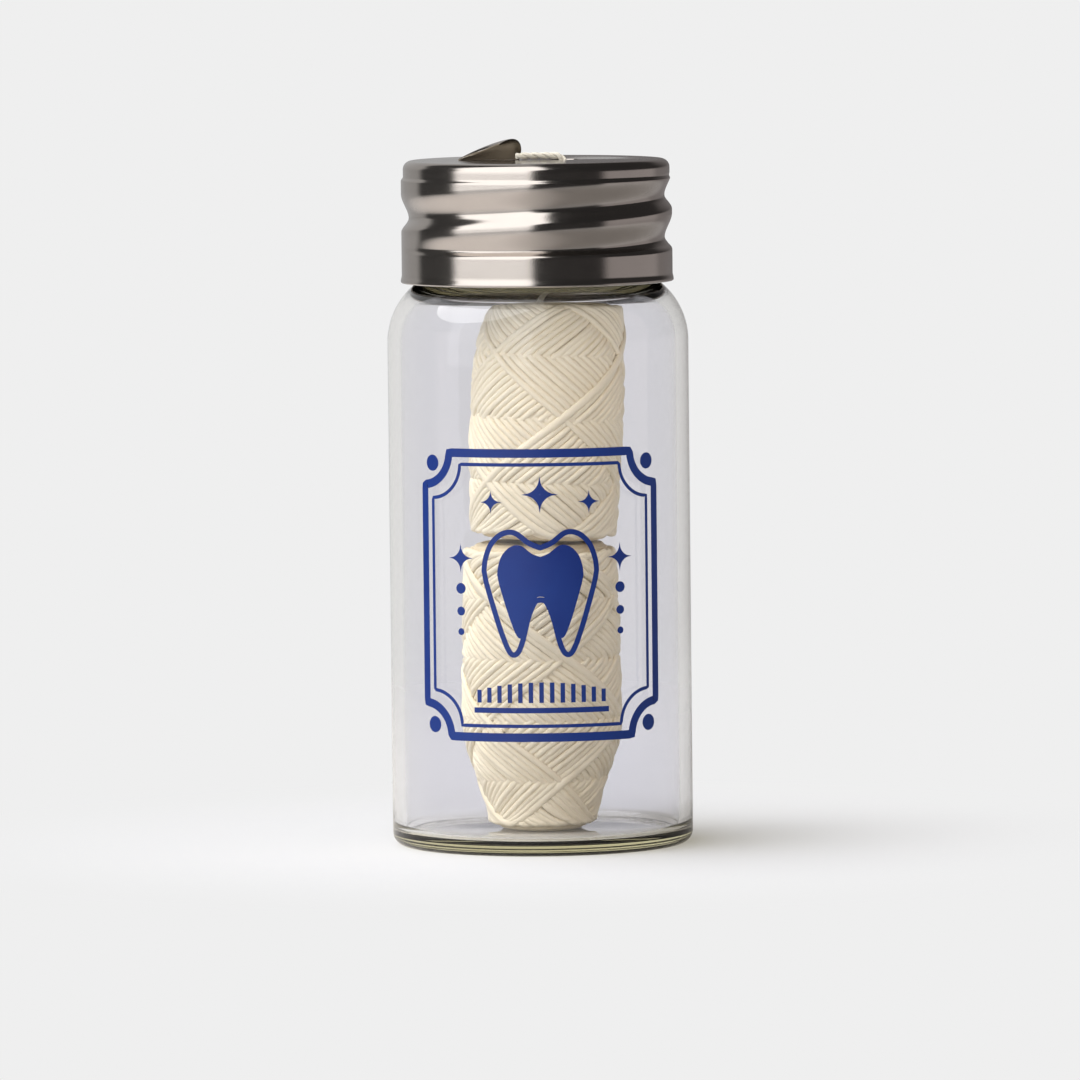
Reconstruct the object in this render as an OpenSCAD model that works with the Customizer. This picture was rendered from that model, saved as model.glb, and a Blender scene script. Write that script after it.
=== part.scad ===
// Refillable dental floss dispenser: a glass vial with a pressed steel screw cap.
// Two cross-wound bobbins of floss stand inside it, one on the other. The floss comes
// up through a hole in the cap and is cut under a scoop lanced out of the cap's top.
// Millimetres. Z is the vial's axis, and the vial stands on z = 0.

/* [Vial] */
// Outer diameter of the glass body
vial_d = 28; // [25:0.5:34]
// Height of the straight glass body, up to the shoulder
body_h = 46.9; // [40:0.5:60]
// Outer radius of the shoulder's arc
shoulder_r = 7; // [5:0.25:8]
// Outer diameter of the neck
neck_d = 22.2; // [20:0.2:23]
// Height of the straight neck above its root
neck_h = 9.24; // [9:0.02:12]
// Glass thickness of the body
wall = 1.2; // [0.8:0.1:1.6]
// Glass thickness of the neck
neck_wall = 1.9; // [1.4:0.1:2.2]
// Glass thickness of the floor
floor_t = 1.3; // [1:0.1:2.5]
// Radius of the outer edge of the foot
heel_r = 1.2; // [0.8:0.1:3]
// Radius of the inner edge of the floor
inner_heel_r = 1; // [0.5:0.1:2]
// Radius where the shoulder runs into the neck
root_r = 1; // [0.5:0.1:1.5]
// Radius of the mouth's edges
lip_r = 0.5; // [0.3:0.05:0.6]

/* [Thread] */
// Lead of the screw thread, one start
pitch = 3.9; // [3.4:0.1:4.4]
// Height of the glass ridge on the neck
ridge_h = 0.9; // [0.7:0.05:1.1]
// Width of the glass ridge at its root
ridge_w = 1.7; // [1.3:0.1:1.8]
// Turns of the glass ridge
ridge_turns = 1.25; // [1:0.05:1.4]
// Distance from the mouth down to the middle of the ridge's upper end
ridge_drop = 1.4; // [1.2:0.1:2.2]
// Turns of the groove rolled into the cap
groove_turns = 1.85; // [1.5:0.05:2]
// Width of the groove rolled into the cap
groove_w = 3.5; // [2.4:0.1:3.6]
// Clearance between the ridge and the cap's wall
ridge_gap = 0.3; // [0.2:0.05:0.5]
// Clearance between the rolled groove and the neck
groove_gap = 0.5; // [0.4:0.05:0.7]

/* [Cap] */
// Thickness of the cap's sheet steel
sheet = 0.3; // [0.25:0.05:0.5]
// Height of the cap from its lower edge to its top
cap_h = 11.2; // [11:0.1:13]
// Outer radius of the edge round the cap's top
corner_r = 0.8; // [0.6:0.1:1.5]
// Height of the plain band below the cap's top
band_h = 1.9; // [1.7:0.1:2.2]
// How far the plain band lies inside the skirt
band_step = 0.2; // [0.1:0.05:0.3]
// How far the skirt's lower edge opens out
edge_flare = 0.1; // [0:0.02:0.3]
// Thickness of the sealing liner
liner_t = 1.2; // [0.8:0.1:1.6]
// Clearance between the liner and the cap's wall
liner_gap = 0.05; // [0.05:0.05:0.2]
// Diameter of the floss hole
hole_d = 3; // [2:0.1:3.4]
// Distance of the floss hole from the cap's axis
hole_x = 2.6; // [2.4:0.1:3.2]

/* [Cutter] */
// Height of the scoop over the cap's top
scoop_h = 1.95; // [1.4:0.05:2.4]
// Length of the scoop's fold, from its tip to its mouth
scoop_l = 5.65; // [5:0.05:6.2]
// Distance of the fold's end at the mouth from the cap's axis
scoop_x = 1.75; // [1.4:0.05:2.2]
// Width of the scoop's cut at its mouth
scoop_w = 2.8; // [2.2:0.1:3.2]
// How far the scoop's crest stands out in front of its fold at the mouth
scoop_lean = 1; // [0.8:0.05:1.2]
// Degrees that the scoop bends over at its mouth, from its fold to its free edge
scoop_bend = 125; // [115:1:130]
// Degrees more that it bends over halfway along
scoop_sag = 30; // [10:1:35]

/* [Bobbins] */
// Diameter of a bobbin
bobbin_d = 14.9; // [13:0.1:16]
// Height of the upper bobbin
upper_h = 21.9; // [18:0.1:22.2]
// Height of the lower bobbin
lower_h = 26.85; // [24:0.1:27.5]
// How much a bobbin's ends draw in
end_draw = 0.4; // [0:0.05:0.8]
// Radius of the upper bobbin's worn top edge
shoulder_wear = 1.4; // [0.8:0.1:2]
// Diameter of the lower bobbin's foot
foot_d = 10; // [9:0.1:12]
// Height of the lower bobbin's taper above its foot
taper_h = 10.2; // [8:0.1:12]
// Lean of the upper bobbin to the right
lean = 2.3; // [0:0.1:3]
// Diameter of the hole through a bobbin
eye_d = 4; // [3.4:0.1:5]
// Clearance between the lower bobbin and the vial's floor
floor_gap = 0.05; // [0.05:0.05:0.3]
// Clearance between the two bobbins
stack_gap = 0.15; // [0.1:0.05:0.3]
// Diameter of a winding of the outer layers
wind_d = 0.9; // [0.7:0.05:1]
// Clearance between the two outer layers of windings
layer_gap = 0.55; // [0.5:0.01:0.7]
// Height of a bobbin's end beyond its last winding
wind_margin = 0.25; // [0.1:0.05:0.5]
// Clearance between the inner layer and the packed floss below it
pack_gap = 0.24; // [0.22:0.01:0.4]

/* [Floss] */
// Diameter of the floss between the bobbin and the cutter
floss_d = 0.66; // [0.5:0.02:0.8]
// Clearance under the floss on the cap's top
floss_gap = 0.03; // [0.02:0.01:0.1]
// How far the floss reaches down into the upper bobbin
floss_in = 6; // [4:0.5:8]
// How far the floss's end reaches past the far foot of the scoop's mouth
floss_tuck = 2.4; // [1.5:0.1:3]
// How far the floss's end lies to the front of the hole
floss_drift = 0.5; // [0.4:0.05:0.6]

/* [Hidden] */
$fn = 96;
vial_r = vial_d / 2;
neck_r = neck_d / 2;
bore_r = neck_r - neck_wall;
arc_x = vial_r - shoulder_r;
mouth_z = root_z(neck_r, shoulder_r, root_r) + neck_h;

cap_r = neck_r + ridge_h + ridge_gap + sheet;
groove_depth = ridge_h + ridge_gap - groove_gap;
cap_z = mouth_z + liner_t + sheet;
edge_z = cap_z - cap_h;
band_z = cap_z - band_h;
band_r = cap_r - band_step;
flat_r = band_r - corner_r;

// The ridge's middle follows ridge_z(angle), and the cap's groove runs half a pitch above it.
ridge_end_z = mouth_z - ridge_drop;
ridge_end_a = 225;
groove_end_a = ridge_end_a - 90;
ridge_fade = 40;
groove_fade = 70;

skirt_columns = 60;
skirt_rows = 18;
skirt_lap = 0.3;
skin = 0.03;

scoop_far = [-scoop_x, 0.6];
scoop_tip = [-scoop_x - scoop_l, 0.2];
scoop_corner = scoop_far - [0, scoop_w];
scoop_sink = sheet / 2;
scoop_steps = 14;
scoop_arc_steps = 12;
// Share of the scoop's length where its pointed end is cut off square
scoop_nose = 0.12;
// Power that rounds the scoop's crest, and the two numbers that slant its mouth
scoop_round = 1.5;
mouth_slant = [1.9, -3.5];

bobbin_r = bobbin_d / 2;
lower_z = floor_t + floor_gap;
upper_z = lower_z + lower_h + stack_gap + (bobbin_r - end_draw) * sin(lean);
layer_step = wind_d + layer_gap;
pack_r = bobbin_r - wind_d - layer_step - pack_gap;
wind_inset = wind_d / 2 + wind_margin;
body_steps = 24;
body_edge_r = 0.6;
wind_sides = 6;
wind_crowd = 0.8;
wind_round = 0.985;
wind_switch = 0.012;
// Loops, rise-and-fall cycles, and rings in a cycle
upper_wind = [17, 12, 34];
lower_wind = [14, 11, 30];
upper_taper = [0, 0, shoulder_wear];
lower_taper = [taper_h, bobbin_r - foot_d / 2, 0];

floss_sides = 8;
floss_top_z = cap_z + floss_gap + floss_d / 2;
floss_low_z = upper_z + upper_h - floss_in;
floss_bend = 0.8;
// Route of the floss inside the vial, as shares of its height and of the hole's distance
feed_route = [[0, 0], [0.2, 0], [0.35, 0.04], [0.5, 0.2], [0.65, 0.48], [0.8, 0.8], [0.93, 0.98], [1, 1]];

glass = [0.82, 0.9, 0.88, 0.35];
steel = [0.72, 0.71, 0.69];
cream = [0.91, 0.87, 0.79];
cream_shade = [0.8, 0.73, 0.6];

function unit(v) = v / norm(v);
function clamp01(t) = max(0, min(1, t));
function ease(t) = clamp01(t) * clamp01(t) * (3 - 2 * clamp01(t));
function polar(r, a, z) = [r * cos(a), r * sin(a), z];

// Triangles of a strip of quads between loop a and loop b, each of n points
function strip(a, b, n) = [
    for (k = [0:n - 1])
        let (m = (k + 1) % n)
        each [[a + k, b + k, b + m], [a + k, b + m, a + m]]
];

// Triangles that close a loop of n points, which starts at point a
function lid(a, n, flip) = [
    for (k = [0:n / 2 - 2])
        let (p = a + k, q = a + k + 1, r = a + n - 2 - k, s = a + n - 1 - k)
        each flip ? [[p, r, q], [p, s, r]] : [[p, q, r], [p, r, s]]
];

// A solid carried through loops of points, which turn anticlockwise about the way they go
module carried(loops, closed = false) {
    n = len(loops[0]);
    last = len(loops) - 1;
    sides = [for (i = [0:last - 1]) each strip(i * n, (i + 1) * n, n)];
    ends = closed ? strip(last * n, 0, n) : concat(lid(0, n, false), lid(last * n, n, true));
    polyhedron([for (loop = loops) each loop], concat(sides, ends), convexity = 10);
}

function heading(path, i) = unit(path[min(i + 1, len(path) - 1)] - path[max(i - 1, 0)]);

// A round loop about point c, square to direction t, with its first point on the side of ref
function round_loop(c, t, ref, r, sides) =
    let (n = unit(ref - (ref * t) * t), b = cross(t, n))
    [for (k = [0:sides - 1]) c + r * cos(360 * k / sides) * n + r * sin(360 * k / sides) * b];

// Height of the middle of the neck's ridge at an angle, counted on over the turns
function ridge_z(a) = ridge_end_z + pitch * (a - ridge_end_a) / 360;
function groove_z(a) = ridge_z(a) + pitch / 2;
function fade_in(a, start, end, width) = ease((a - start) / width) * ease((end - a) / width);

// Depth of the rolled groove at an angle from 0 to 360 and a height
function groove_at(a, z) =
    groove_depth * max([
        for (turn = [-2:0])
            let (b = a + 360 * turn, off = abs(z - groove_z(b)) / (groove_w / 2))
            (1 - ease(off)) * fade_in(b, groove_end_a - 360 * groove_turns, groove_end_a, groove_fade)
    ]);

// Centre height of an arc of radius f that runs from an arc of radius r about [arc_x, body_h]
// into an upright line at x
function root_z(x, r, f) = body_h + sqrt(pow(r + f, 2) - pow(x + f - arc_x, 2));

// The corner between the shoulder's arc of radius r and an upright line at x, rounded by f
module root_fillet(x, r, f) {
    zc = root_z(x, r, f);
    touch = [arc_x, body_h] + [x + f - arc_x, zc - body_h] * r / (r + f);
    difference() {
        polygon([[arc_x, body_h], touch, [x + f, zc], [arc_x, zc]]);
        translate([x + f, zc]) circle(f);
    }
}

module vial_outline() {
    translate([0, heel_r]) square([vial_r, body_h - heel_r]);
    square([vial_r - heel_r, body_h]);
    translate([vial_r - heel_r, heel_r]) circle(heel_r);
    intersection() {
        translate([arc_x, body_h]) circle(shoulder_r);
        translate([0, body_h - shoulder_r / 2]) square([vial_r, 2 * shoulder_r]);
    }
    translate([0, body_h - shoulder_r / 2]) square([neck_r, mouth_z - lip_r - body_h + shoulder_r / 2]);
    translate([0, body_h]) square([neck_r - lip_r, mouth_z - body_h]);
    translate([neck_r - lip_r, mouth_z - lip_r]) circle(lip_r);
    root_fillet(neck_r, shoulder_r, root_r);
}

module vial_cavity() {
    in_r = vial_r - wall;
    translate([0, floor_t + inner_heel_r]) square([in_r, body_h - floor_t - inner_heel_r]);
    translate([0, floor_t]) square([in_r - inner_heel_r, body_h - floor_t]);
    translate([in_r - inner_heel_r, floor_t + inner_heel_r]) circle(inner_heel_r);
    intersection() {
        translate([arc_x, body_h]) circle(shoulder_r - wall);
        translate([0, body_h - shoulder_r / 2]) square([vial_r, 2 * shoulder_r]);
    }
    translate([0, body_h - shoulder_r / 2]) square([bore_r, mouth_z - body_h + shoulder_r]);
    root_fillet(bore_r, shoulder_r - wall, root_r);
    difference() {
        translate([0, mouth_z - lip_r]) square([bore_r + lip_r, 2 * lip_r]);
        translate([bore_r + lip_r, mouth_z - lip_r]) circle(lip_r);
    }
}

// The glass ridge that the cap screws down on
module neck_ridge() {
    start = ridge_end_a - 360 * ridge_turns;
    steps = round(36 * ridge_turns);
    root = neck_r - neck_wall / 2;
    carried([
        for (i = [0:steps])
            let (
                a = start + (ridge_end_a - start) * i / steps,
                z = ridge_z(a),
                h = ridge_h * fade_in(a, start - 1, ridge_end_a + 1, ridge_fade)
            )
            [
                polar(root, a, z - ridge_w / 2),
                polar(root, a, z + ridge_w / 2),
                polar(neck_r - skin, a, z + ridge_w / 2),
                polar(neck_r + h, a, z + ridge_w / 5),
                polar(neck_r + h, a, z - ridge_w / 5),
                polar(neck_r - skin, a, z - ridge_w / 2)
            ]
    ]);
}

module glass_vial() {
    color(glass) {
        rotate_extrude() difference() {
            vial_outline();
            vial_cavity();
        }
        neck_ridge();
    }
}

// The cap's top down to z = band_z, drawn in by a margin
module crown_outline(margin) {
    top = cap_z - margin;
    r = band_r - margin;
    turn_r = corner_r - margin;
    translate([0, band_z - margin]) square([r, top - turn_r - band_z + margin]);
    translate([0, band_z - margin]) square([r - turn_r, top - band_z + margin]);
    translate([r - turn_r, top - turn_r]) circle(turn_r);
}

module cap_crown() {
    difference() {
        rotate_extrude() difference() {
            crown_outline(0);
            crown_outline(sheet);
            translate([0, band_z - 2 * sheet]) square([cap_r, 2 * sheet]);
        }
        translate([hole_x, 0, cap_z - 2 * sheet]) cylinder(d = hole_d, h = 3 * sheet);
        translate([0, 0, cap_z - 2 * sheet]) linear_extrude(3 * sheet) scoop_opening();
    }
}

function skirt_z(row) = edge_z + (band_z - skirt_lap - edge_z) * row / skirt_rows;
function skirt_r(a, z) = cap_r - groove_at(a, z) + edge_flare * ease(1 - (z - edge_z) / sheet / 2);

// The threaded skirt, whose upper edge reaches into the band's wall
module cap_skirt() {
    lap = [[band_r - skin, band_z - skin], [band_r - skin, band_z + skirt_lap]];
    carried([
        for (i = [0:skirt_columns - 1])
            let (a = 360 * i / skirt_columns)
            concat(
                [for (row = [0:skirt_rows]) polar(skirt_r(a, skirt_z(row)) - sheet, a, skirt_z(row))],
                [for (p = lap) polar(p[0] - sheet + 2 * skin, a, p[1])],
                [for (k = [1, 0]) polar(lap[k][0], a, lap[k][1])],
                [for (row = [skirt_rows:-1:0]) polar(skirt_r(a, skirt_z(row)), a, skirt_z(row))]
            )
    ], true);
}

// A measure of the scoop's outer skin drawn in towards the inner one, which never reaches zero
function drawn_in(size, margin) = size * size / (size + margin);

// Point of the scoop's skin, u from its tip to its mouth, v from its fold to its free edge,
// drawn in by a margin
function scoop_point(u, v, margin) =
    let (
        bend = v * (scoop_bend + scoop_sag * sin(180 * u)),
        along = u * (scoop_l + mouth_slant[0] * v + mouth_slant[1] * v * v),
        fold_y = scoop_tip[1] + (scoop_far[1] - scoop_tip[1]) * along / scoop_l,
        lean = drawn_in(scoop_lean * u, margin),
        crest = drawn_in(scoop_h * (1 - pow(1 - u, scoop_round)), margin)
    )
    [
        scoop_tip[0] + along,
        fold_y - margin - lean * (1 - cos(bend)),
        cap_z - scoop_sink * (1 - sin(bend)) + crest * sin(bend)
    ];

// The cutter: a flap lanced on two sides, folded up along its back and bent over to the front
module cutter_scoop() {
    carried([
        for (i = [0:scoop_steps])
            let (u = scoop_nose + (1 - scoop_nose) * i / scoop_steps)
            concat(
                [for (k = [0:scoop_arc_steps]) scoop_point(u, k / scoop_arc_steps, 0)],
                [for (k = [scoop_arc_steps:-1:0]) scoop_point(u, k / scoop_arc_steps, sheet)]
            )
    ]);
}

// The opening in the cap's top that the flap was folded up from
module scoop_opening() {
    foot = sheet + skin;
    tip = scoop_tip + (scoop_corner - scoop_tip) * foot / scoop_w;
    polygon([tip, scoop_corner, scoop_far - [0, foot]]);
}

module screw_cap() {
    color(steel) {
        cap_crown();
        cap_skirt();
        cutter_scoop();
    }
}

module cap_liner() {
    color("white") difference() {
        translate([0, 0, mouth_z]) cylinder(r = flat_r - liner_gap, h = liner_t);
        translate([hole_x, 0, mouth_z - 1]) cylinder(d = hole_d, h = liner_t + 2);
    }
}

// Floss from the liner's lower face up through the hole, over and along the cap's top
function tail_path() =
    let (x = hole_x, end_x = -scoop_x - floss_tuck, r = floss_bend)
    concat(
        [[x, 0, mouth_z], [x, 0, mouth_z + floss_d]],
        [for (a = [0:18:90]) [x - r + r * cos(a), 0, floss_top_z - r + r * sin(a)]],
        [for (k = [1:6]) [x - r + (end_x - x + r) * k / 6, -floss_drift * ease(k / 6), floss_top_z]]
    );

function feed_path() = [
    for (p = feed_route) [hole_x * p[1], 0, floss_low_z + (mouth_z - floss_low_z) * p[0]]
];

module floss(path) {
    color(cream) carried([
        for (i = [0:len(path) - 1])
            round_loop(path[i], heading(path, i), [0, 1, 0], floss_d / 2, floss_sides)
    ]);
}

module floss_tail() {
    floss(tail_path());
}

module floss_feed() {
    floss(feed_path());
}

// Outer radius of a bobbin of height h at height z above its base
function bobbin_at(h, taper, z) =
    let (u = 2 * z / h - 1, wear = taper[2] > 0 ? clamp01((z - h + taper[2]) / taper[2]) : 0)
    bobbin_r - (taper[0] > 0 ? taper[1] * (1 - ease(z / taper[0])) : 0)
        - end_draw * (taper[0] > 0 ? pow(clamp01(u), 2) : u * u)
        - taper[2] * (1 - sqrt(1 - pow(0.9 * wear, 2)));

// The packed floss of a bobbin, which carries its outer windings, with a hole through it
module bobbin_body(h, taper) {
    edge = body_edge_r;
    draw = bobbin_r - pack_r;
    low_r = bobbin_at(h, taper, 0) - draw;
    top_r = bobbin_at(h, taper, h) - draw;
    color(cream_shade) rotate_extrude() difference() {
        polygon(concat(
            [[0, 0], [low_r - edge, 0]],
            [for (a = [30:30:60]) [low_r - edge + edge * sin(a), edge - edge * cos(a)]],
            [
                for (i = [0:body_steps])
                    let (z = edge + (h - 2 * edge) * i / body_steps)
                    [bobbin_at(h, taper, z) - draw, z]
            ],
            [for (a = [60:-30:30]) [top_r - edge + edge * sin(a), h - edge + edge * cos(a)]],
            [[top_r - edge, h], [0, h]]
        ));
        translate([0, -1]) square([eye_d / 2, h + 2]);
    }
}

// Centre line of the outer windings: the floss rises in the inner layer, falls in the outer
// layer and changes layer where it turns back, at the bobbin's ends
function wind_point(h, taper, count, k) =
    let (
        rings = count[2],
        share = (k % rings) / rings,
        p = share - wind_crowd * sin(720 * share) / (4 * PI),
        a = 360 * (floor(k / rings) + p) * count[0] / count[1],
        climb = asin(wind_round * sin(360 * p - 90)) / asin(wind_round),
        z = h / 2 + (h / 2 - wind_inset) * climb,
        half = p < 0.5 ? p : 1 - p,
        over = half < 0.25
            ? (p < 0.5 ? 1 - ease((half + wind_switch) / 2 / wind_switch)
                : ease((half + wind_switch) / 2 / wind_switch))
            : (p < 0.5 ? ease((half - 0.5 + wind_switch) / 2 / wind_switch)
                : 1 - ease((half - 0.5 + wind_switch) / 2 / wind_switch)),
        r = bobbin_at(h, taper, z) - wind_d / 2 - layer_step * (1 - over)
    )
    polar(r, a, z);

function wind_path(h, taper, count) =
    let (
        last = count[1] * count[2] - 5,
        run = [for (k = [0:last]) wind_point(h, taper, count, k)]
    )
    concat(
        [run[0] - wind_d * unit(run[1] - run[0])],
        run,
        [run[last] + wind_d * unit(run[last] - run[last - 1])]
    );

// Least distance between the windings of two passes, less a winding's diameter
function least_gap(path, near) =
    min([
        for (i = [0:2:len(path) - 1])
            for (j = [i + near:1:len(path) - 1])
                norm(path[i] - path[j])
    ]) - wind_d;

module bobbin_windings(name, h, taper, count) {
    path = wind_path(h, taper, count);
    between = [for (i = [0:len(path) - 2]) each [path[i], (path[i] + path[i + 1]) / 2]];
    echo(str(name, " least gap of its windings, mm: "), least_gap(between, 9));
    color(cream) carried([
        for (i = [0:len(path) - 1])
            round_loop(path[i], heading(path, i), [path[i][0], path[i][1], 0], wind_d / 2, wind_sides)
    ]);
}

module upper_seat() {
    translate([0, 0, upper_z]) rotate([0, lean, 0]) children();
}

module upper_bobbin_body() {
    upper_seat() bobbin_body(upper_h, upper_taper);
}

module upper_bobbin_windings() {
    upper_seat() bobbin_windings("upper bobbin", upper_h, upper_taper, upper_wind);
}

module lower_bobbin_body() {
    translate([0, 0, lower_z]) bobbin_body(lower_h, lower_taper);
}

module lower_bobbin_windings() {
    translate([0, 0, lower_z]) bobbin_windings("lower bobbin", lower_h, lower_taper, lower_wind);
}

glass_vial();
screw_cap();
cap_liner();
floss_tail();
floss_feed();
upper_bobbin_body();
upper_bobbin_windings();
lower_bobbin_body();
lower_bobbin_windings();
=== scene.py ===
"""Looks for the floss dispenser: a clear glass vial with a pressed steel screw cap, two
cross-wound bobbins of floss in it, and the loose end of the floss under the cap's cutter.

Lengths are in millimetres until a mesh is made. Z is the vial's axis, the vial stands on
z = 0, and the camera looks along +Y. Angles round the axis start at +X.
"""
import math

import bmesh
import bpy
import numpy as np
from mathutils import Matrix, Vector
from mathutils.geometry import delaunay_2d_cdt


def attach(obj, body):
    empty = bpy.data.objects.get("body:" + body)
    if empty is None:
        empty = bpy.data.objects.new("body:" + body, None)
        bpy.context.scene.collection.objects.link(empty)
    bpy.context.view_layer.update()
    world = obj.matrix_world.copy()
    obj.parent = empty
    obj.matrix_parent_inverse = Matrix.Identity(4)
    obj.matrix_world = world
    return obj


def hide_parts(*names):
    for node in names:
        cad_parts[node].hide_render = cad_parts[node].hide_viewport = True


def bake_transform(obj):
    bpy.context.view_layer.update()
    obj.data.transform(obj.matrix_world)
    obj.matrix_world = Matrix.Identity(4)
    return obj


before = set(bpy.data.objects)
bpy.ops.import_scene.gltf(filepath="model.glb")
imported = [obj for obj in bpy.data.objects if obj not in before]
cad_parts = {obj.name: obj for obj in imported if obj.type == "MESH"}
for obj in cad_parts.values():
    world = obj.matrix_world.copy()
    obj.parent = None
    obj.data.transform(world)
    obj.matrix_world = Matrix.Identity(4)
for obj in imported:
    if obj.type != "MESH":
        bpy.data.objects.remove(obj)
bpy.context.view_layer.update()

MM = 0.001
TURN = 2.0 * math.pi

# The vial
VIAL_R, BODY_H, SHOULDER_R, WALL = 14.0, 46.9, 7.0, 1.2
NECK_R, BORE_R, ROOT_R, LIP_R = 11.1, 9.2, 1.0, 0.5
FLOOR_T, HEEL_R, INNER_HEEL_R = 1.3, 1.2, 1.0
# Share of its height that the inner shoulder loses at its top, where the glass thickens to the
# neck, how far the foot is pressed in at its middle, and the foot's radius over the dish's
INNER_DROP, FOOT_DISH, DISH_REACH = 0.09, 0.12, 1.12
MOUTH_Z = 62.3
ARC_X = VIAL_R - SHOULDER_R

# The screw thread
PITCH, RIDGE_H, RIDGE_W, RIDGE_TURNS = 3.9, 0.9, 1.7, 1.25
RIDGE_END_Z, RIDGE_END_A, RIDGE_FADE = MOUTH_Z - 1.4, 225.0, 40.0
GROOVE_DEPTH, GROOVE_TURNS, GROOVE_END_A, GROOVE_FADE = 0.7, 1.85, 135.0, 50.0
# Reach of the groove above and below its middle, the height up to which the skirt is plain, and
# the height over which the groove then sets in
GROOVE_UP, GROOVE_DOWN, PLAIN_Z, PLAIN_FADE = 2.25, 1.3, 55.15, 0.7

# The cap and its scoop
SHEET = 0.3
CAP_R, BAND_R, CORNER_R, FLAT_R = 12.6, 12.4, 0.8, 11.6
CAP_Z, BAND_Z, EDGE_Z, EDGE_FLARE = 63.8, 62.2, 52.6, 0.1
# The step from the skirt in to the narrower band: how far it starts below BAND_Z, and its height
STEP_DOWN, STEP_H = 0.25, 0.35
# The floss hole, and its worn rim: how much wider it is than the hole at each depth
HOLE_X, HOLE_R = 2.6, 1.5
HOLE_RIM = [(0.12, 0.0), (0.04, 0.03), (0.0, 0.1), (0.0, SHEET - 0.03), (0.03, SHEET)]
SCOOP_H, SCOOP_L, SCOOP_W, SCOOP_LEAN, SCOOP_SINK = 1.95, 5.65, 2.8, 1.0, 0.15
SCOOP_BEND, SCOOP_SAG = math.radians(125.0), math.radians(12.0)
SCOOP_NOSE, SCOOP_ROUND, MOUTH_SLANT = 0.03, 1.5, (1.9, -3.5)
SCOOP_TIP, SCOOP_FAR = np.array([-7.4, 0.2]), np.array([-1.75, 0.6])
# Gap between the scoop and its opening, and how far its free edge and its mouth round out, as
# shares of its bend and of its length
SCOOP_GAP, EDGE_ROUND, MOUTH_ROUND = 0.03, 0.03, 0.022

# The bobbins
BOBBIN_R, END_DRAW, EYE_R, EYE_ROUND = 7.45, 0.4, 2.0, 1.0
UPPER_H, LOWER_H = 22.7, 26.85
LOWER_Z, UPPER_Z, LEAN = 1.35, 28.633, math.radians(2.3)
SHOULDER_WEAR, TAPER_H, FOOT_R = 1.4, 10.2, 5.0
# The upper bobbin is partly used: how much thinner it is, how far it stands to the right, how far
# its top has slumped on the left, over the last of its height, and by which power
USED_T, USED_X, SLUMP, SLUMP_H, SLUMP_POWER = 0.28, 0.3, 1.5, 9.0, 2.2
# The winding's strand, how far a crossed strand dips under, its rings a pass, how slowly it turns
# back at the ends, how unevenly far it reaches there, and the share of a turn over which it dips
STRAND_W, STRAND_T, STRAND_DROP = 0.6, 0.5, 0.4
PASS_RINGS, SLOW_TURN, UNEVEN, CROSS_SOFT = 124, 0.8, 0.35, 0.16
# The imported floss: its rounded edges, how deep it lies in the winding, the height, depth and pitch
# of the rings on its ends, and the number, slope and depth of the ridges on its side
CORE_EDGE, CORE_LAP = 0.8, 0.12
END_H, END_DEPTH, END_PITCH = 0.3, 0.16, 0.55
SIDE_RIDGES, SIDE_SLOPE, SIDE_DEPTH = 24, 0.75, 0.1

# The floss between the bobbin and the cutter, and shares of its height and of its way over to the
# hole between the two
FLOSS_BEND, FLOSS_TOP_Z, FLOSS_LOW_Z = 0.8, 64.16, 44.533
FLOSS_END_X, FLOSS_DRIFT = -1.8, 0.5
FEED_ROUTE = [(0, 0), (0.2, 0), (0.35, 0.04), (0.5, 0.2), (0.65, 0.48), (0.8, 0.8), (0.93, 0.98), (1, 1)]
# Its two plies: a turn's length, and how far each lies off the middle, is wide and is thick
PLY_TURN, PLY_OFF, PLY_W, PLY_T = 1.9, 0.16, 0.42, 0.34

# The print on the glass, round it and up from its middle: the frames' half width, half height,
# corner and stroke, the sparkles' middles and sizes, and the places of the dots and bars
PRINT_Z, PRINT_GAP, INK_T = 24.2, 0.006, 0.022
FRAMES = [(11.9, 13.1, 3.0, 0.8), (10.85, 12.05, 3.15, 0.32)]
CORNER_DOT = (10.9, 12.1, 0.75)
SPARKLES = [(0.0, 9.3, 1.7), (-4.6, 8.6, 1.05), (4.6, 8.6, 1.05), (7.7, 3.4, 1.3), (-7.7, 3.4, 1.3)]
SIDE_DOT_X, SIDE_DOTS = 7.7, [(0.6, 0.5), (-1.5, 0.41), (-3.4, 0.32)]
TOOTH_HALF_W, TOOTH_Z, TOOTH_SHARE, TOOTH_STROKE = 5.3, 0.9, 0.76, 0.5
TOOTH_CROWN = [(0, 3.5), (0.2, 3.95), (0.45, 4.9), (0.68, 4.75), (0.87, 3.8), (0.97, 2.5), (1, 1.4)]
TOOTH_ROOTS = [(0, -1.3), (0.1, -1.5), (0.22, -3.0), (0.33, -5.3), (0.43, -6.3), (0.55, -6.1), (0.7, -4.2),
               (0.85, -1.7), (0.96, 0.3), (1, 1.4)]
BAR_STEP, BAR_TOP, BAR_FOOT, BAR_SAG, BAR_W = 0.98, -8.0, -9.9, 0.02, 0.42
RULE_HALF_W, RULE_Z, RULE_STROKE = 6.4, -10.6, 0.5

# The studio. The camera's lens and place, how far it looks down and is rolled, in degrees
LENS, CAMERA_AT, CAMERA_DOWN, CAMERA_ROLL = 355.0, (0.0, -0.990, 0.099), 4.083, 0.6
BACKDROP = 0.863
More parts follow.
